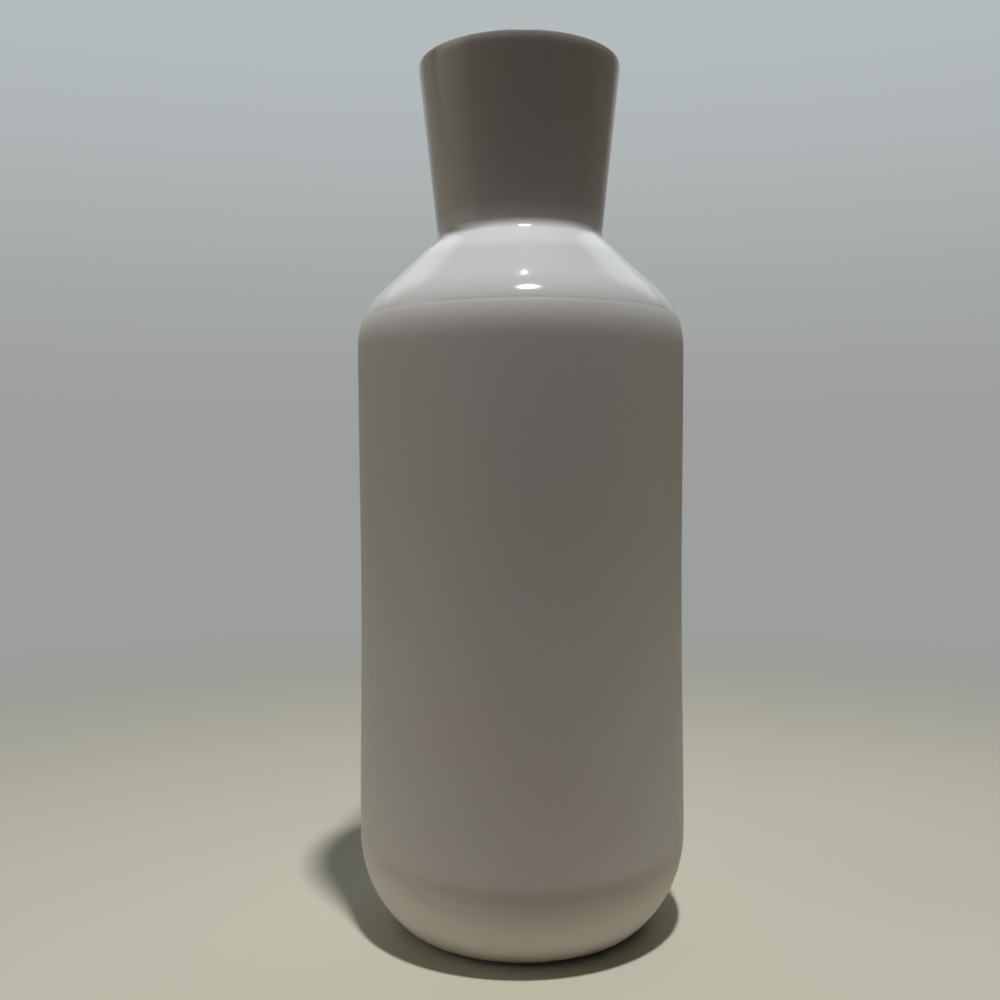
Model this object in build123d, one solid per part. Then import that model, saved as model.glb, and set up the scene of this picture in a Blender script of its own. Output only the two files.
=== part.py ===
from build123d import *
import math
import os

# Bottle vase of cast stoneware, in millimetres. +Z is up, and the origin is on the table at the
# middle of the foot. The clay shell carries three fused glaze coats: gloss on neck and shoulder,
# satin matt on the body, and a liner inside. Every surface lies parallel to the glazed outside,
# so one outline, taken at a given depth, draws them all.

# Body, measured on the glazed outside
belly_radius = 60.0        # widest, just above the rounded base
waist_radius = 59.15       # the wall draws in a little here
waist_z = 114.0
shoulder_radius = 59.6     # top of the wall
body_height = 223.0        # table to the corner where wall and shoulder would meet

# Rounded base
base_arc = 42.7            # large arc under the wall
base_turn = 46.1           # degrees that the large arc turns through, from the vertical
heel_arc = 13.0            # smaller arc of bare clay that runs into the foot
foot_ring_width = 5.0
recess_depth = 2.0         # hollow under the base, inside the foot ring
bare_foot_height = 1.5     # the matt glaze stops this far above the table

# Shoulder and neck
shoulder_slope = 43.5      # degrees above the horizontal
shoulder_arc = 25.0
neck_radius = 30.0         # corner where shoulder and neck would meet
neck_arc = 4.8             # hollow rounding of that corner
neck_height = 63.0         # that corner to the flat top of the lip
lip_radius = 36.9          # corner where neck and lip would meet
lip_edge = 1.0             # rounding of the lip's two edges
glaze_line_drop = 1.1      # gloss gives way to matt this far below the shoulder's corner
groove_width = 2.0         # shallow turned groove along that line
groove_depth = 0.05

# Thicknesses
clay_wall = 4.0
outer_glaze = 0.5
inner_glaze = 0.5
floor_thickness = 6.0

clay_depth = outer_glaze
inside_depth = clay_depth + clay_wall
full_depth = inside_depth + inner_glaze

# Centres of the base arcs: the bare heel stands on the table
heel_reach = base_arc - outer_glaze - heel_arc
belly_z = heel_arc + heel_reach * math.sin(math.radians(base_turn))
base_centre = (belly_radius - base_arc, belly_z)
foot_radius = base_centre[0] + heel_reach * math.cos(math.radians(base_turn))
heel_centre = (foot_radius, heel_arc)
floor_z = recess_depth + floor_thickness

# Corners of the shoulder and neck, before rounding
slope = math.radians(shoulder_slope)
neck_corner = Vector(neck_radius, body_height + (shoulder_radius - neck_radius) * math.tan(slope))
total_height = neck_corner.Y + neck_height
glaze_line_z = body_height - glaze_line_drop
shoulder_turn = 90 - shoulder_slope
wall_top_z = body_height - shoulder_arc * math.tan(math.radians(shoulder_turn / 2))
shoulder_centre = (shoulder_radius - shoulder_arc, wall_top_z)

# Round section of the groove, centred outside the shoulder where the glazes meet
groove_radius = (groove_width**2 / 4 + groove_depth**2) / (2 * groove_depth)
groove_turn = math.asin((glaze_line_z - wall_top_z) / shoulder_arc)
groove_reach = shoulder_arc + groove_radius - groove_depth
groove_r = shoulder_centre[0] + groove_reach * math.cos(groove_turn)
groove_z = shoulder_centre[1] + groove_reach * math.sin(groove_turn)

# The neck's outer line runs straight from its corner to the corner of the lip
flare = math.atan2(lip_radius - neck_radius, neck_height)
flare_turn = math.degrees(flare)
neck_up = Vector(math.sin(flare), math.cos(flare))
shoulder_down = Vector(math.cos(slope), -math.sin(slope))
corner_half = neck_up.get_angle(shoulder_down) / 2
neck_centre = neck_corner + (neck_up + shoulder_down).normalized() * (
    neck_arc / math.sin(math.radians(corner_half)))


def edge_centre(depth):
    """Point at this depth in the wall that a rounded edge of the lip turns about."""
    below_corner = lip_edge * math.tan(flare) + depth / math.cos(flare)
    return (lip_radius - below_corner, total_height - lip_edge)


def outer_edge(depth):
    return CenterArc(edge_centre(lip_edge), lip_edge - depth, -flare_turn, 90 + flare_turn)


def inner_edge(depth):
    edge_radius = lip_edge - (full_depth - depth)
    return CenterArc(edge_centre(full_depth - lip_edge), edge_radius, 90, 90 - flare_turn)


def lip(outer_depth, inner_depth):
    """Flat top of the wall with its two rounded edges, from the outer outline to the inner one."""
    outer = outer_edge(outer_depth)
    inner = inner_edge(inner_depth)
    return [outer, Line(outer @ 1, inner @ 0), inner]


def wall_and_neck(depth, lip_start):
    """Outline from the belly up to the start of the lip, this far below the glazed surface."""
    wall = Spline(
        (belly_radius - depth, belly_z),
        (waist_radius - depth, waist_z),
        (shoulder_radius - depth, wall_top_z),
        tangents=[(0, 1), (0, 1)],
    )
    shoulder = CenterArc(shoulder_centre, shoulder_arc - depth, 0, shoulder_turn)
    hollow_turn = 180 - 2 * corner_half
    hollow = CenterArc(neck_centre, neck_arc + depth, 180 + shoulder_turn, -hollow_turn)
    return [wall, shoulder, Line(shoulder @ 1, hollow @ 0), hollow, Line(hollow @ 1, lip_start)]


def outside(depth):
    """Outline from the foot up to the start of the lip, with the rounded base."""
    heel_radius = heel_arc + outer_glaze - depth
    heel = CenterArc(heel_centre, heel_radius, -90, 90 - base_turn)
    base = CenterArc(base_centre, base_arc - depth, -base_turn, base_turn)
    return [heel, base] + wall_and_neck(depth, outer_edge(depth) @ 0)


def inside(depth, floor):
    """Outline from the middle of the floor up to the start of the lip, inside the vase."""
    corner_arc = belly_z - floor
    corner_centre = (belly_radius - depth - corner_arc, belly_z)
    corner = CenterArc(corner_centre, corner_arc, -90, 90)
    wall = wall_and_neck(depth, inner_edge(depth) @ 1)
    return [Line((0, floor), corner @ 0), corner] + wall


def turned(edges):
    """Solid of revolution about the vase's axis, from a closed outline of radius and height."""
    return revolve(Plane.XZ * make_face(edges), Axis.Z)


def stoneware_body():
    outer = outside(clay_depth)
    inner = inside(inside_depth, floor_z)
    foot_inner = foot_radius - foot_ring_width
    recess = CenterArc((foot_inner - recess_depth, 0), recess_depth, 0, 90)
    under = [Line((foot_radius, 0), (foot_inner, 0)), recess, Line(recess @ 1, (0, recess_depth))]
    axis = Line((0, recess_depth), (0, floor_z))
    return turned(outer + lip(clay_depth, inside_depth) + inner + under + [axis])


def outer_coat():
    """Both outside glazes as one skin, from the foot over the lip."""
    outer = outside(0)
    inner = outside(clay_depth)
    over_lip = lip(0, full_depth)
    under_lip = lip(clay_depth, inside_depth)
    foot_end = Line(outer[0] @ 0, inner[0] @ 0)
    lip_end = Line(over_lip[-1] @ 1, under_lip[-1] @ 1)
    return turned(outer + over_lip + [lip_end] + under_lip + inner + [foot_end])


def line_groove():
    """Ring that cuts the fine groove round the shoulder, where gloss and matt meet."""
    return Pos(Z=groove_z) * Torus(groove_r, groove_radius)


def gloss_glaze():
    return split(outer_coat(), Plane.XY.offset(glaze_line_z), Keep.TOP) - line_groove()


def matt_glaze():
    below_line = split(outer_coat(), Plane.XY.offset(glaze_line_z), Keep.BOTTOM)
    return split(below_line, Plane.XY.offset(bare_foot_height), Keep.TOP) - line_groove()


def liner_glaze():
    outer = inside(inside_depth, floor_z)
    inner = inside(full_depth, floor_z + inner_glaze)
    axis = Line(outer[0] @ 0, inner[0] @ 0)
    lip_end = Line(outer[-1] @ 1, inner[-1] @ 1)
    return turned(outer + [lip_end] + inner + [axis])


pieces = {
    "stoneware_body": stoneware_body,
    "gloss_glaze": gloss_glaze,
    "matt_glaze": matt_glaze,
    "liner_glaze": liner_glaze,
}

os.makedirs("parts", exist_ok=True)
for name, make in pieces.items():
    export_step(make(), f"parts/{name}.step")
print(f"height {total_height:.1f}, foot ring {foot_radius - foot_ring_width:.1f} to {foot_radius:.1f}")
print(f"belly at {belly_z:.1f}, flare {flare_turn:.2f} degrees a side")
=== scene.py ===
import bpy
import math
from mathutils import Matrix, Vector


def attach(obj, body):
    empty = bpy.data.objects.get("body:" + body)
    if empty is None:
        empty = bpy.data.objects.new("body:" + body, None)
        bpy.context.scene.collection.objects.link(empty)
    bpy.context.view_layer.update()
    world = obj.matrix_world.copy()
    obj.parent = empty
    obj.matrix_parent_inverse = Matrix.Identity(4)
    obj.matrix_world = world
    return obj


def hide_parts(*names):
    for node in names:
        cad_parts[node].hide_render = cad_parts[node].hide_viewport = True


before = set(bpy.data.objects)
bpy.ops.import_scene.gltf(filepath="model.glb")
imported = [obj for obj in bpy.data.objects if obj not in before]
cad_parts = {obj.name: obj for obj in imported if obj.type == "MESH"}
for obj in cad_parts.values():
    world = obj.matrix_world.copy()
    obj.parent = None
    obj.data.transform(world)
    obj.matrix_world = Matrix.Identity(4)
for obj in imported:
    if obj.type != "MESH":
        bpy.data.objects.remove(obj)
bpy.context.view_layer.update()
bpy.context.scene.view_settings.view_transform = "Standard"
print("frame loaded", sorted(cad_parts))

mm = 0.001


# Camera, where the photograph was taken from

cameraSet = {
    "lens": 38.99,        # mm, on a sensor this wide
    "sensor": 36,
    "back": 0.4029,       # metres in front of the vase's axis
    "height": 0.1702,
    "pitch": 2.077,       # degrees down
    "turn": 1.085,        # degrees to the left
    "roll": 0.235,
    "near": 0.01,         # nearest distance that is drawn
}


def setCamera(c):
    bpy.ops.object.select_all(action="DESELECT")
    bpy.ops.object.camera_add(
        location=(0, -c["back"], c["height"]),
        rotation=[math.radians(a) for a in (90 - c["pitch"], c["roll"], c["turn"])],
    )
    camera = bpy.context.object
    camera.name = "camera"
    camera.data.lens = c["lens"]
    camera.data.sensor_width = c["sensor"]
    camera.data.clip_start = c["near"]
    bpy.context.scene.camera = camera


setCamera(cameraSet)
print("camera set")


# Outline of the vase, in mm as radius and height, worked out for any depth under the glaze

outline = {
    "belly": 60.0,
    "waist": 59.15,
    "waistZ": 114.0,
    "waistLean": -0.0057,     # slope of the wall at the waist
    "shoulder": 59.6,
    "corner": 223.0,          # height where wall and shoulder would meet
    "baseArc": 42.7,
    "baseTurn": 46.1,
    "heelArc": 13.0,
    "bareFoot": 1.5,
    "slope": 43.5,
    "shoulderArc": 25.0,
    "softTurn": 28.0,         # length of the outside over which the wall turns into the slope
    "softSteps": 240,
    "neck": 30.0,
    "neckArc": 4.8,
    "neckHeight": 63.0,
    "lip": 36.9,              # radius where neck and lip would meet
    "lipEdge": 1.0,
    "tuck": 5.0,              # the outside draws in over this length below the lip
    "tuckTurn": 14.0,         # by this many degrees, most of it near the edge
    "tuckSteps": 14,
    "crisp": 0.45,            # rounding of the glaze at the outer edge
    "lineDrop": 1.1,          # the glaze line lies this far below that corner
    "grooveHalf": 1.0,
    "grooveDepth": 0.035,
    "glaze": 0.5,
    "wall": 5.0,              # clay with both coats
    "floor": 8.0,             # height of the clay floor inside
}


def smooth(t):
    return t * t * (3 - 2 * t)


def workOut(o):
    heelReach = o["baseArc"] - o["glaze"] - o["heelArc"]
    base = math.radians(o["baseTurn"])
    o["bellyZ"] = o["heelArc"] + heelReach * math.sin(base)
    o["baseCentre"] = (o["belly"] - o["baseArc"], o["bellyZ"])
    o["heelCentre"] = (o["baseCentre"][0] + heelReach * math.cos(base), o["heelArc"])
    o["shoulderTurn"] = 90 - o["slope"]
    o["wallTopZ"] = o["corner"] - o["shoulderArc"] * math.tan(math.radians(o["shoulderTurn"] / 2))
    o["shoulderCentre"] = (o["shoulder"] - o["shoulderArc"], o["wallTopZ"])
    slope = math.radians(o["slope"])
    corner = Vector((o["neck"], o["corner"] + (o["shoulder"] - o["neck"]) * math.tan(slope)))
    o["top"] = corner.y + o["neckHeight"]
    flare = math.atan2(o["lip"] - o["neck"], o["neckHeight"])
    up = Vector((math.sin(flare), math.cos(flare)))
    down = Vector((math.cos(slope), -math.sin(slope)))
    half = up.angle(down) / 2
    o["neckCentre"] = tuple(corner + (up + down).normalized() * (o["neckArc"] / math.sin(half)))
    o["neckTurn"] = 180 - 2 * math.degrees(half)
    o["flare"] = math.degrees(flare)


def softShoulder(o):
    # outside of the shoulder as places along it, with radius, height and turn: it bends most in the middle
    steps, full = o["softSteps"], math.radians(o["shoulderTurn"])
    part, r, z = o["softTurn"] / steps, 0.0, 0.0
    run = [(0.0, 0.0, 0.0)]
    for i in range(steps):
        turn = full * smooth((i + 0.5) / steps)
        r, z = r - part * math.sin(turn), z + part * math.cos(turn)
        run.append((r, z, full * smooth((i + 1) / steps)))
    o["softZ"] = o["corner"] - r * math.tan(math.radians(o["slope"])) - z     # its end then lies on the slope
    o["soft"] = [(o["shoulder"] + r, o["softZ"] + z, turn) for r, z, turn in run]
    lineZ = o["corner"] - o["lineDrop"]
    below = max(i for i, point in enumerate(o["soft"]) if point[1] < lineZ)
    lowR, lowZ = o["soft"][below][:2]
    o["line"] = part * (below + (lineZ - lowZ) / (o["soft"][below + 1][1] - lowZ))
    centreR, centreZ = o["shoulderCentre"]
    o["lineTurn"] = math.degrees(math.atan2(lineZ - centreZ, lowR - centreR))


def arcRun(centre, radius, start, turn, steps):
    turns = [math.radians(start + turn * i / steps) for i in range(steps + 1)]
    return [(centre[0] + radius * math.cos(t), centre[1] + radius * math.sin(t)) for t in turns]


def lineRun(a, b, steps):
    shares = [0.5 - 0.5 * math.cos(math.pi * i / steps) for i in range(1, steps)]   # closer at the ends
    return [(a[0] + (b[0] - a[0]) * s, a[1] + (b[1] - a[1]) * s) for s in shares]


def wallRun(depth, steps):
    o = outline
    topZ = o["wallTopZ"] if depth else o["softZ"]
    knots = [
        (o["belly"], o["bellyZ"], 0),
        (o["waist"], o["waistZ"], o["waistLean"]),
        (o["shoulder"], topZ, 0),
    ]
    run = []
    for (r0, z0, lean0), (r1, z1, lean1) in zip(knots, knots[1:]):
        for i in range(steps):
            t, tall = (i + 1) / steps, z1 - z0
            bow = tall * (lean0 * t * (1 - t) ** 2 - lean1 * t * t * (1 - t))
            run.append((r0 + (r1 - r0) * smooth(t) + bow - depth, z0 + tall * t))
    return run


def baseRun(depth, steps):
    o = outline
    heelRadius = o["heelArc"] + o["glaze"] - depth
    lowest = -math.degrees(math.asin((o["heelArc"] - o["bareFoot"]) / heelRadius))   # where the glaze stops
    heel = arcRun(o["heelCentre"], heelRadius, lowest, -o["baseTurn"] - lowest, steps // 2)
    return heel + arcRun(o["baseCentre"], o["baseArc"] - depth, -o["baseTurn"], o["baseTurn"], steps)[1:]


def shoulderRun(start, end, steps):
    # stretch of the outside of the shoulder, with the shallow groove along the glaze line
    o = outline
    run = []
    for i in range(steps + 1):
        along = start + (end - start) * i / steps
        place = along / o["softTurn"] * (len(o["soft"]) - 1)
        low = min(int(place), len(o["soft"]) - 2)
        r, z, turn = [a + (b - a) * (place - low) for a, b in zip(o["soft"][low], o["soft"][low + 1])]
        away = min(abs(along - o["line"]) / o["grooveHalf"], 1)
        deep = o["grooveDepth"] * (1 + math.cos(math.pi * away)) / 2
        run.append((r - deep * math.cos(turn), z - deep * math.sin(turn)))
    return run


def underRun(depth, start, end, steps):
    return arcRun(outline["shoulderCentre"], outline["shoulderArc"] - depth, start, end - start, steps)


def edgeRun(depth, steps):
    # rounded edge of the lip, on the side of the wall where this depth is
    o = outline
    outer, flare = depth < o["wall"] / 2, math.radians(o["flare"])
    inWall = o["lipEdge"] if outer else o["wall"] - o["lipEdge"]
    centre = (o["lip"] - o["lipEdge"] * math.tan(flare) - inWall / math.cos(flare), o["top"] - o["lipEdge"])
    if outer:
        return arcRun(centre, o["lipEdge"] - depth, -o["flare"], 90 + o["flare"], steps)
    return arcRun(centre, o["lipEdge"] - o["wall"] + depth, 90, 90 - o["flare"], steps)


def tuckRun():
    # outside of the lip: a slow turn inwards, then the rounded edge
    o = outline
    steps, lean, start = o["tuckSteps"], math.radians(o["flare"]), o["tuckTurn"] - o["flare"]
    part = o["tuck"] / steps
    turns = [lean - math.radians(o["tuckTurn"]) * ((i + 0.5) / steps) ** 3 for i in range(steps)]
    below = sum(part * math.cos(turn) for turn in turns) + o["crisp"] * (1 - math.sin(math.radians(start)))
    run = [(o["lip"] - below * math.tan(lean), o["top"] - below)]
    for turn in turns:
        run.append((run[-1][0] + part * math.sin(turn), run[-1][1] + part * math.cos(turn)))
    centre = (run[-1][0] - o["crisp"] * math.cos(math.radians(start)), o["top"] - o["crisp"])
    return run + arcRun(centre, o["crisp"], start, 90 - start, steps)[1:]


def neckRun(depth, steps):
    o = outline
    hollow = arcRun(o["neckCentre"], o["neckArc"] + depth, 180 + o["shoulderTurn"], -o["neckTurn"], steps)
    if depth:
        lipStart = edgeRun(depth, steps)[0 if depth < o["wall"] / 2 else -1]
    else:
        lipStart = tuckRun()[0]
    return hollow + lineRun(hollow[-1], lipStart, steps // 2) + [lipStart]


def lipRun(outerDepth, innerDepth, steps):
    outer = edgeRun(outerDepth, steps) if outerDepth else tuckRun()
    inner = edgeRun(innerDepth, steps)
    return outer + lineRun(outer[-1], inner[0], steps=4) + inner


workOut(outline)
softShoulder(outline)
line, half, lineTurn = outline["line"], outline["grooveHalf"], outline["lineTurn"]
glaze, wall, floorZ = outline["glaze"], outline["wall"], outline["floor"]
print("outline worked out")


# Turned pieces: an outline is drawn point by point and spun about the axis

turning = {
    "steps": 256,
    "weld": 2e-7,         # metres, along the outline
    "seamWeld": 2e-6,     # where the last step meets the first
    "sharp": 35,          # degrees past which an edge stays sharp
}


def turnPiece(name, points, closed):
    bpy.ops.object.select_all(action="DESELECT")
    bpy.ops.mesh.primitive_plane_add(size=mm, location=(points[0][0] * mm, 0, points[0][1] * mm))
    piece = bpy.context.object
    piece.name = name
    bpy.ops.object.mode_set(mode="EDIT")
    bpy.ops.mesh.select_all(action="SELECT")
    bpy.ops.mesh.merge(type="CENTER")
    path = points + points[:1] if closed else points
    for (r0, z0), (r1, z1) in zip(path, path[1:]):
        step = ((r1 - r0) * mm, 0, (z1 - z0) * mm)
        bpy.ops.mesh.extrude_region_move(TRANSFORM_OT_translate={"value": step})
    bpy.ops.mesh.select_all(action="SELECT")
    bpy.ops.mesh.remove_doubles(threshold=turning["weld"])
    bpy.ops.mesh.select_all(action="SELECT")
    bpy.ops.mesh.spin(steps=turning["steps"], angle=math.tau, center=(0, 0, 0), axis=(0, 0, 1))
    bpy.ops.mesh.select_all(action="SELECT")
    bpy.ops.mesh.remove_doubles(threshold=turning["seamWeld"])
    bpy.ops.mesh.normals_make_consistent(inside=False)
    bpy.ops.object.mode_set(mode="OBJECT")
    bpy.ops.object.transform_apply(location=True, rotation=True, scale=True)
    bpy.ops.object.shade_smooth_by_angle(angle=math.radians(turning["sharp"]))
    print(name, len(piece.data.polygons), "faces")
    return piece


def dress(piece, node):
    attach(piece, "root")
    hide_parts(node)


# The two outside glazes meet at a line that was dipped by hand, so it wanders a little

wander = {
    "tilt": 0.32, "tiltAt": 178,          # mm, and degrees round from +X where it hangs lowest
    "waves": [(3, 0.09, 40), (5, 0.06, 115), (11, 0.03, 250)],     # count, mm high, degrees round
    "reach": 6.0,                         # mm either side of the line that slide with it
    "zone": (-8, 22),                     # mm above the top of the wall where this holds
    "outside": 30,                        # gap that is noted for places out of the zone
}


def wanderLine(piece):
    o, w = outline, wander
    centreR, centreZ = o["shoulderCentre"]
    gap = piece.data.attributes.new("lineGap", "FLOAT", "POINT")    # mm from the line, before it wanders
    for v in piece.data.vertices:
        around = math.atan2(v.co.y, v.co.x)
        r, z = math.hypot(v.co.x, v.co.y) / mm - centreR, v.co.z / mm - centreZ
        turn, reach = math.atan2(z, r), math.hypot(r, z)
        along = (turn - math.radians(lineTurn)) * o["shoulderArc"]
        inZone = w["zone"][0] < z < w["zone"][1] and r > 0
        gap.data[v.index].value = along if inZone else w["outside"]
        if not inZone or abs(along) >= w["reach"]:
            continue
        slide = -w["tilt"] * math.cos(around - math.radians(w["tiltAt"]))
        for count, high, shift in w["waves"]:
            slide += high * math.sin(count * around + math.radians(shift))
        turn += slide * (1 - (along / w["reach"]) ** 2) ** 2 / o["shoulderArc"]
        newR, newZ = centreR + reach * math.cos(turn), centreZ + reach * math.sin(turn)
        v.co = (newR * mm * math.cos(around), newR * mm * math.sin(around), newZ * mm)
    piece.data.update()


glossGlaze = turnPiece(
    "glossGlaze",
    shoulderRun(line, line + half, steps=8)
    + shoulderRun(line + half, outline["softTurn"], steps=20)[1:]
    + lineRun(outline["soft"][-1], neckRun(0, steps=2)[0], steps=8)
    + neckRun(0, steps=24)
    + lipRun(0, wall, steps=14)[1:]
    + lipRun(glaze, wall - glaze, steps=6)[::-1]
    + neckRun(glaze, steps=10)[::-1][1:]
    + underRun(glaze, lineTurn, outline["shoulderTurn"], steps=8)[::-1],
    closed=True,
)
wanderLine(glossGlaze)
dress(glossGlaze, "gloss_glaze")

mattGlaze = turnPiece(
    "mattGlaze",
    baseRun(0, steps=32)
    + wallRun(0, steps=16)
    + shoulderRun(0, line - half, steps=14)[1:-1]
    + shoulderRun(line - half, line, steps=8)
    + underRun(glaze, 0, lineTurn, steps=8)[::-1]
    + wallRun(glaze, steps=8)[::-1][1:]
    + baseRun(glaze, steps=16)[::-1],
    closed=True,
)
wanderLine(mattGlaze)
dress(mattGlaze, "matt_glaze")


def insideRun(depth, floor, steps):
    o = outline
    arc = o["bellyZ"] - floor
    corner = arcRun((o["belly"] - depth - arc, o["bellyZ"]), arc, -90, 90, steps)
    rise = corner + wallRun(depth, steps // 2) + underRun(depth, 0, o["shoulderTurn"], steps)[1:]
    return [(0, floor)] + lineRun((0, floor), corner[0], steps=6) + rise + neckRun(depth, steps)


linerGlaze = turnPiece(
    "linerGlaze",
    insideRun(wall - glaze, floorZ, steps=12) + insideRun(wall, floorZ + glaze, steps=24)[::-1],
    closed=False,
)
dress(linerGlaze, "liner_glaze")
print("pieces turned")


# Finishes

class Wire:
    def __init__(self, tree, socket=None):
        self.tree, self.socket = tree, socket

    def node(self, kind, settings=None, inputs=None, out=0):
        made = self.tree.nodes.new(kind)
        for name, value in (settings or {}).items():
            setattr(made, name, value)
        for name, value in (inputs or {}).items():
            plug = made.inputs[name] if isinstance(name, int) else next(
                s for s in made.inputs if s.name == name and s.enabled)
            if isinstance(value, Wire):
                self.tree.links.new(value.socket, plug)
            else:
                plug.default_value = value
        return Wire(self.tree, made.outputs[out] if len(made.outputs) else None)

    def math(self, operation, a, b=0.0):
        return self.node("ShaderNodeMath", {"operation": operation}, {0: a, 1: b})

    def __add__(self, other):
        return self.math("ADD", self, other)

    def __sub__(self, other):
        return self.math("SUBTRACT", self, other)

    def __mul__(self, other):
        return self.math("MULTIPLY", self, other)

    def __truediv__(self, other):
        return self.math("DIVIDE", self, other)

    def __radd__(self, other):
        return self.math("ADD", other, self)

    def __rsub__(self, other):
        return self.math("SUBTRACT", other, self)

    def __rmul__(self, other):
        return self.math("MULTIPLY", other, self)

    def __abs__(self):
        return self.math("ABSOLUTE", self)


def startMaterial(name):
    material = bpy.data.materials.new(name)
    material.use_nodes = True
    material.node_tree.nodes.clear()
    return material, Wire(material.node_tree)


def wear(piece, material):
    piece.data.materials.clear()
    piece.data.materials.append(material)


def noise(wire, place, scale, detail=2.0, rough=0.5):
    return wire.node("ShaderNodeTexNoise", {}, {
        "Vector": place, "Scale": scale, "Detail": detail, "Roughness": rough})


def ease(wire, value, low, high):
    # 0 below low, 1 above high, smooth between
    return wire.node("ShaderNodeMapRange", {"interpolation_type": "SMOOTHSTEP"},
                     {"Value": value, "From Min": low, "From Max": high})


def blendColour(wire, share, a, b):
    return wire.node("ShaderNodeMix", {"data_type": "RGBA"}, {"Factor": share, "A": a, "B": b}, out=2)


def specks(wire, place, scale, size, share):
    # few round specks: a Voronoi cell holds one if its random number is high enough
    cell = {"Vector": place, "Scale": scale, "Randomness": 1.0}
    away = wire.node("ShaderNodeTexVoronoi", {}, cell, out="Distance")
    luck = wire.node("ShaderNodeTexVoronoi", {}, cell, out="Color")
    pick = wire.node("ShaderNodeSeparateColor", {}, {"Color": luck}, out=0)
    grow = wire.node("ShaderNodeSeparateColor", {}, {"Color": luck}, out=1)
    reach = size * scale * (0.5 + grow * 0.5)      # from half the size to all of it
    return (1 - ease(wire, away / reach, 0.55, 1.0)) * ease(wire, pick, 1 - share, 1 - share + 0.01)


def coatSurface(wire, look, colour, roughness, height):
    strength, deep = look["bump"]
    bump = wire.node("ShaderNodeBump", {}, {"Strength": strength, "Distance": deep, "Height": height})
    shader = wire.node("ShaderNodeBsdfPrincipled", {}, {
        "Base Color": colour, "Roughness": roughness, "IOR": look["ior"], "Normal": bump})
    wire.node("ShaderNodeOutputMaterial", {}, {"Surface": shader})


# Noise scales are in cells per metre; specks have such a scale, a radius in metres and the share of cells
# that hold one; a bump has its strength and its depth in metres

glossLook = {
    "colour": (0.80, 0.795, 0.785, 1),
    "cloud": (0.80, 0.80, 0.795, 1), "cloudScale": 38.0,
    "pool": (0.92, 0.92, 0.915, 1),     # the coat gathers in the corner under the neck, and is painted paler still there as painted light, standing in for lamp light that the glossy neck throws down
    "poolAndThrownLightZ": (0.2425, 0.2475),
    "neck": (0.66, 0.64, 0.61, 1),      # painted shade: the neck is darkened for the little light that reaches its steep glossy face
    "neckShadeZ": (0.2525, 0.262),
    "raggedZ": 0.003,                   # metres by which these heights wander
    "thin": (0.72, 0.68, 0.60, 1),      # where the clay warms it: the lip's crest and the line
    "thinShare": 0.5,
    "crestZ": (0.3134, 0.3150), "crestRagged": 0.0012,
    "lineGap": (0.2, 0.6), "lineRagged": 0.3,       # mm
    "breakScale": 210.0, "breaks": (0.5, 0.66),     # the thin line comes and goes
    "speck": (0.30, 0.26, 0.21, 1),
    "specks": (120.0, 0.00022, 0.10), "speckShare": 0.6, "speckPit": 0.3,
    "waveScale": 90.0, "wave": 0.7,
    "peelScale": 420.0, "peel": 0.06,
    "bump": (0.12, 0.0004),
    "roughness": 0.09, "uneven": 0.03,
    "ior": 1.52,
}


def glossFinish(look):
    material, wire = startMaterial("glossGlaze")
    place = wire.node("ShaderNodeTexCoord", out="Object")
    height = wire.node("ShaderNodeSeparateXYZ", {}, {"Vector": place}, out="Z")
    gap = abs(wire.node("ShaderNodeAttribute", {"attribute_name": "lineGap"}, out="Fac"))
    cloud = noise(wire, place, look["cloudScale"], 3.0)
    crest = ease(wire, height + cloud * look["crestRagged"], *look["crestZ"])
    broken = ease(wire, noise(wire, place, look["breakScale"]), *look["breaks"])
    edge = (1 - ease(wire, gap + cloud * look["lineRagged"], *look["lineGap"])) * broken
    thin = wire.math("MAXIMUM", crest * look["thinShare"], edge * look["thinShare"])
    ragged = height + cloud * look["raggedZ"]
    colour = blendColour(wire, cloud, look["colour"], look["cloud"])
    # glaze pooled in the corner under the neck, made paler also as painted light from the neck
    colour = blendColour(wire, ease(wire, ragged, *look["poolAndThrownLightZ"]), colour, look["pool"])
    # painted shade on the neck, above the corner
    colour = blendColour(wire, ease(wire, ragged, *look["neckShadeZ"]), colour, look["neck"])
    colour = blendColour(wire, thin, colour, look["thin"])
    dots = specks(wire, place, *look["specks"])
    colour = blendColour(wire, dots * look["speckShare"], colour, look["speck"])
    wave = noise(wire, place, look["waveScale"], 1.0) * look["wave"]
    peel = noise(wire, place, look["peelScale"]) * look["peel"]
    roughness = look["roughness"] + cloud * look["uneven"]
    coatSurface(wire, look, colour, roughness, wave + peel - dots * look["speckPit"])
    return material


mattLook = {
    "colour": (0.82, 0.81, 0.79, 1),
    "warm": (0.815, 0.795, 0.765, 1),
    "cloudScale": 22.0, "clouds": (0.3, 0.7),
    "mottle": (0.74, 0.72, 0.69, 1),
    "mottleScale": 330.0, "mottles": (0.35, 0.75), "mottleShare": 0.12, "mottleHigh": 0.5,
    "speck": (0.20, 0.17, 0.14, 1),
    "specks": (62.0, 0.0005, 0.35), "speckShare": 0.8, "speckPit": 0.4,
    "grainScale": 2600.0, "grain": 0.35,
    "bump": (0.25, 0.00012),
    "roughness": 0.52, "uneven": 0.08,
    "ior": 1.38,
}


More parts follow.
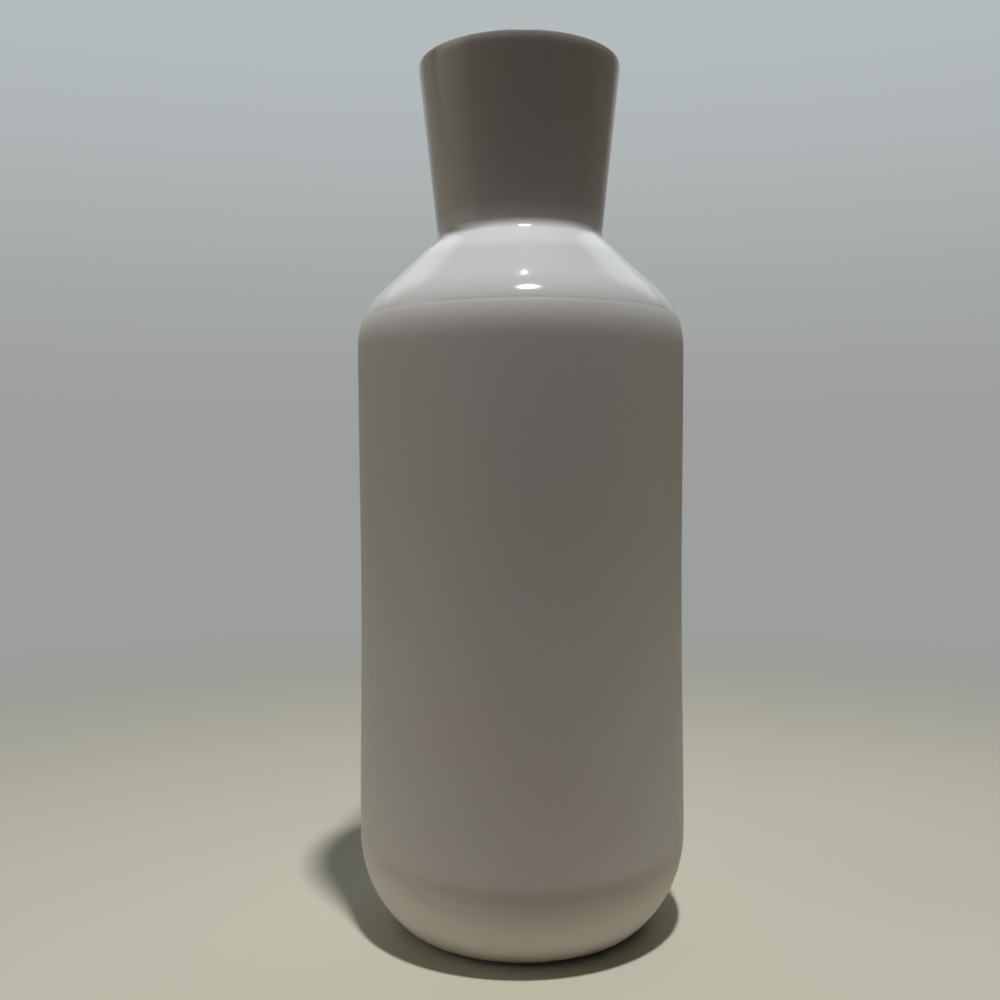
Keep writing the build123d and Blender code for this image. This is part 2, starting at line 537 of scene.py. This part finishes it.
def mattFinish(look):
    material, wire = startMaterial("mattGlaze")
    place = wire.node("ShaderNodeTexCoord", out="Object")
    cloud = noise(wire, place, look["cloudScale"], 3.0)
    mottle = noise(wire, place, look["mottleScale"], 3.0, 0.6)
    mottled = ease(wire, mottle, *look["mottles"]) * look["mottleShare"]
    colour = blendColour(wire, ease(wire, cloud, *look["clouds"]), look["colour"], look["warm"])
    colour = blendColour(wire, mottled, colour, look["mottle"])
    dots = specks(wire, place, *look["specks"])
    colour = blendColour(wire, dots * look["speckShare"], colour, look["speck"])
    grain = noise(wire, place, look["grainScale"], 2.0, 0.6) * look["grain"]
    roughness = look["roughness"] + mottle * look["uneven"]
    height = grain + mottle * look["mottleHigh"] - dots * look["speckPit"]
    coatSurface(wire, look, colour, roughness, height)
    return material


linerLook = {
    "colour": (0.77, 0.755, 0.72, 1),
    "pool": (0.74, 0.73, 0.71, 1),
    "cloudScale": 30.0,
    "streakScale": (90.0, 90.0, 9.0),   # the liner was poured and ran down the wall
    "streak": 0.6, "cloud": 0.4, "runs": (0.35, 0.65),
    "speck": (0.30, 0.26, 0.21, 1),
    "specks": (110.0, 0.0003, 0.12), "speckShare": 0.6,
    "bump": (0.15, 0.0005),
    "roughness": 0.14, "uneven": 0.06,
    "ior": 1.5,
}


def linerFinish(look):
    material, wire = startMaterial("linerGlaze")
    place = wire.node("ShaderNodeTexCoord", out="Object")
    cloud = noise(wire, place, look["cloudScale"], 3.0)
    drawn = wire.node("ShaderNodeMapping", {}, {"Vector": place, "Scale": look["streakScale"]})
    runs = noise(wire, drawn, 1.0) * look["streak"] + cloud * look["cloud"]
    colour = blendColour(wire, ease(wire, runs, *look["runs"]), look["colour"], look["pool"])
    dots = specks(wire, place, *look["specks"])
    colour = blendColour(wire, dots * look["speckShare"], colour, look["speck"])
    coatSurface(wire, look, colour, look["roughness"] + cloud * look["uneven"], runs)
    return material


clayLook = {
    "colour": (0.50, 0.41, 0.30, 1),
    "pale": (0.62, 0.54, 0.43, 1),
    "cloudScale": 60.0, "sandScale": 1500.0,
    "patches": (0.38, 0.62),
    "grit": (0.25, 0.19, 0.13, 1),
    "specks": (500.0, 0.00035, 0.12), "speckShare": 0.7, "speckPit": 0.3,
    "sandHigh": 0.8, "cloudHigh": 0.5,
    "bump": (0.5, 0.0002),
    "roughness": 0.86, "uneven": 0.08,
    "ior": 1.45,
}


def clayFinish(look):
    material, wire = startMaterial("bareStoneware")
    place = wire.node("ShaderNodeTexCoord", out="Object")
    cloud = noise(wire, place, look["cloudScale"], 4.0, 0.6)
    sand = noise(wire, place, look["sandScale"], 2.0, 0.7)
    patches = ease(wire, cloud * 0.5 + sand * 0.5, *look["patches"])
    colour = blendColour(wire, patches, look["colour"], look["pale"])
    grit = specks(wire, place, *look["specks"])
    colour = blendColour(wire, grit * look["speckShare"], colour, look["grit"])
    height = sand * look["sandHigh"] + cloud * look["cloudHigh"] - grit * look["speckPit"]
    coatSurface(wire, look, colour, look["roughness"] + sand * look["uneven"], height)
    return material


wear(glossGlaze, glossFinish(glossLook))
wear(mattGlaze, mattFinish(mattLook))
wear(linerGlaze, linerFinish(linerLook))
clay = clayFinish(clayLook)
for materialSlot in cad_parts["stoneware_body"].material_slots:
    materialSlot.material = clay
print("finishes set")


# Plain pale floor, which fades into the background further out

stageLook = {
    "radius": 6.0, "rim": 4.5,            # metres
    "floor": (0.61, 0.59, 0.485, 1),
    "near": 0.22, "far": 0.75,            # metres from the vase where it starts and ends to fade
    "bounce": (0.55, 0.50, 0.39, 1),      # its colour in the light that it throws back on the vase
    "edge": (-0.114, -0.084),             # past this line in front, less light comes up
    "past": (0.21, 0.155, 0.112, 1),      # colour for that light just past the line, and further out
    "beyond": (0.115, 0.078, 0.058, 1),
    "reach": (-0.40, -0.099),             # between these places in front it goes from one to the other
    "low": (0.335, 0.345, 0.335, 1),      # background at the horizon and at the top of the view
    "high": (0.46, 0.50, 0.51, 1),
}


def blendShader(wire, share, a, b):
    return wire.node("ShaderNodeMixShader", {}, {0: share, 1: a, 2: b})


def setFloor(look):
    bpy.ops.object.select_all(action="DESELECT")
    bpy.ops.mesh.primitive_circle_add(
        vertices=96, radius=look["radius"], fill_type="NGON", location=(0, 0, 0))
    floor = bpy.context.object
    floor.name = "floor"
    bpy.ops.object.mode_set(mode="EDIT")
    bpy.ops.mesh.select_all(action="SELECT")
    bpy.ops.mesh.inset(thickness=look["rim"])
    bpy.ops.object.mode_set(mode="OBJECT")
    material, wire = startMaterial("floor")
    place = wire.node("ShaderNodeTexCoord", out="Object")
    away = wire.node("ShaderNodeVectorMath", {"operation": "LENGTH"}, {0: place}, out="Value")
    y = wire.node("ShaderNodeSeparateXYZ", {}, {"Vector": place}, out="Y")
    seen = wire.node("ShaderNodeLightPath", out="Is Camera Ray")
    plain, bounce, past, beyond = [
        wire.node("ShaderNodeBsdfDiffuse", {}, {"Color": look[name]})
        for name in ("floor", "bounce", "past", "beyond")
    ]
    glow = wire.node("ShaderNodeEmission", {}, {"Color": look["low"], "Strength": 1.0})
    front = blendShader(wire, ease(wire, y, *look["reach"]), beyond, past)
    thrown = blendShader(wire, ease(wire, y, *look["edge"]), front, bounce)
    faded = blendShader(wire, ease(wire, away, look["near"], look["far"]), plain, glow)
    wire.node("ShaderNodeOutputMaterial", {}, {"Surface": blendShader(wire, seen, thrown, faded)})
    wear(floor, material)
    return floor


floor = setFloor(stageLook)
print("floor set")


# Light: a lamp almost straight above, dim in front, bright to the left and behind

lampAim = (0, -0.055, 0.226)

lampSet = {     # degrees to the front and right of straight above, metres, and what each lights
    "key": {
        "front": 6.9, "right": 2.0, "away": 2.0, "size": (0.16, 0.14), "watts": 31.5, "lights": "vase",
    },
    "ground": {
        "front": 13.0, "right": 4.6, "away": 1.0, "size": (0.075, 0.075), "watts": 10.3, "lights": "floor",
    },
    "glint": {
        "front": 15.0, "right": 4.0, "away": 2.0, "size": (0.32, 0.15), "watts": 20.0, "lights": "gloss",
    },
    "dot": {
        "front": -9.0, "right": 1.5, "away": 2.0, "size": (0.04, 0.022), "watts": 1.0, "lights": "gloss",
    },
}


def lightGroup(name, pieces):
    group = bpy.data.collections.new(name)
    for piece in pieces:
        group.objects.link(piece)
    return group


def setLamps(lamps, groups):
    for name, lamp in lamps.items():
        front, right = math.radians(lamp["front"]), math.radians(lamp["right"])
        way = Vector((math.tan(right), -math.tan(front), 1)).normalized()
        bpy.ops.object.select_all(action="DESELECT")
        bpy.ops.object.light_add(
            type="AREA",
            location=Vector(lampAim) + way * lamp["away"],
            rotation=way.to_track_quat("Z", "Y").to_euler(),
        )
        light = bpy.context.object
        light.name = name + "Lamp"
        light.data.shape = "ELLIPSE"
        light.data.size, light.data.size_y = lamp["size"]
        light.data.energy = lamp["watts"]
        light.visible_glossy = lamp["lights"] == "gloss"      # two small lamps only for the highlights
        light.visible_diffuse = lamp["lights"] != "gloss"
        if lamp["lights"] in groups:
            light.light_linking.receiver_collection = groups[lamp["lights"]]


# A light's place round the vase is in degrees, 0 towards the camera and 90 to its right, and its rise is the
# sine of its height: each pair of numbers is where it starts and has come in full

studioLook = {
    "front": (0.022, 0.0245, 0.025, 1),
    "left": (0.86, 0.85, 0.80, 1),
    "leftBack": (-112, -98), "leftFront": (-66, -60),
    "leftFoot": (0.14, 0.28), "leftHead": (0.6, 0.7),
    "leftLow": (0.24, 0.22, 0.18, 1),       # below it, and behind it for the gloss alone
    "lowHead": (0.16, 0.24), "lowBack": (-124, -108),
    "right": (0.15, 0.14, 0.12, 1),         # for the gloss alone
    "rightFront": (95, 98), "rightHead": (0.30, 0.40),
    "back": (0.44, 0.485, 0.485, 1),
    "backSide": (132, 152), "backFoot": (0.08, 0.30),
    "high": (0.84, 0.91, 0.93, 1),          # upper part of the light behind, wider by some degrees
    "highFoot": (0.42, 0.50), "highWider": 10,
    "above": (0.02, 0.02, 0.02, 1),
    "aboveFoot": (0.69, 0.82),
    "viewRise": (0.0, 0.4),                 # from the low to the high colour of the background
}


def setStudio(look, stage):
    world = bpy.data.worlds.new("studio")
    bpy.context.scene.world = world
    world.use_nodes = True
    world.node_tree.nodes.clear()
    wire = Wire(world.node_tree)
    way = wire.node("ShaderNodeTexCoord", out="Generated")
    x, y, z = [wire.node("ShaderNodeSeparateXYZ", {}, {"Vector": way}, out=axis) for axis in "XYZ"]
    around = wire.math("ARCTAN2", x, 0 - y) * (180 / math.pi)
    gloss = wire.node("ShaderNodeLightPath", out="Is Glossy Ray")
    seen = wire.node("ShaderNodeLightPath", out="Is Camera Ray")
    toLeft = 1 - ease(wire, around, *look["leftFront"])
    left = toLeft * ease(wire, around, *look["leftBack"]) * ease(wire, z, *look["leftFoot"])
    left = left * (1 - ease(wire, z, *look["leftHead"]))
    behindLeft = gloss * (1 - ease(wire, around, *look["lowBack"]))
    leftLow = toLeft * wire.math("MAXIMUM", 1 - ease(wire, z, *look["lowHead"]), behindLeft)
    right = gloss * ease(wire, around, *look["rightFront"]) * (1 - ease(wire, z, *look["rightHead"]))
    high = ease(wire, z, *look["highFoot"])
    side = abs(around) + high * look["highWider"]
    back = ease(wire, side, *look["backSide"]) * ease(wire, z, *look["backFoot"])
    light = blendColour(wire, leftLow, look["front"], look["leftLow"])
    light = blendColour(wire, left, light, look["left"])
    light = blendColour(wire, right, light, look["right"])
    light = blendColour(wire, back, light, blendColour(wire, high, look["back"], look["high"]))
    light = blendColour(wire, ease(wire, z, *look["aboveFoot"]), light, look["above"])
    view = blendColour(wire, ease(wire, z, *look["viewRise"]), stage["low"], stage["high"])
    shown = wire.node("ShaderNodeBackground", {}, {
        "Color": blendColour(wire, seen, light, view), "Strength": 1.0})
    wire.node("ShaderNodeOutputWorld", {}, {"Surface": shown})


vase = [glossGlaze, mattGlaze, linerGlaze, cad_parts["stoneware_body"]]
setLamps(lampSet, {"vase": lightGroup("vase", vase), "floor": lightGroup("floor", [floor])})
setStudio(studioLook, stageLook)
print("light set")
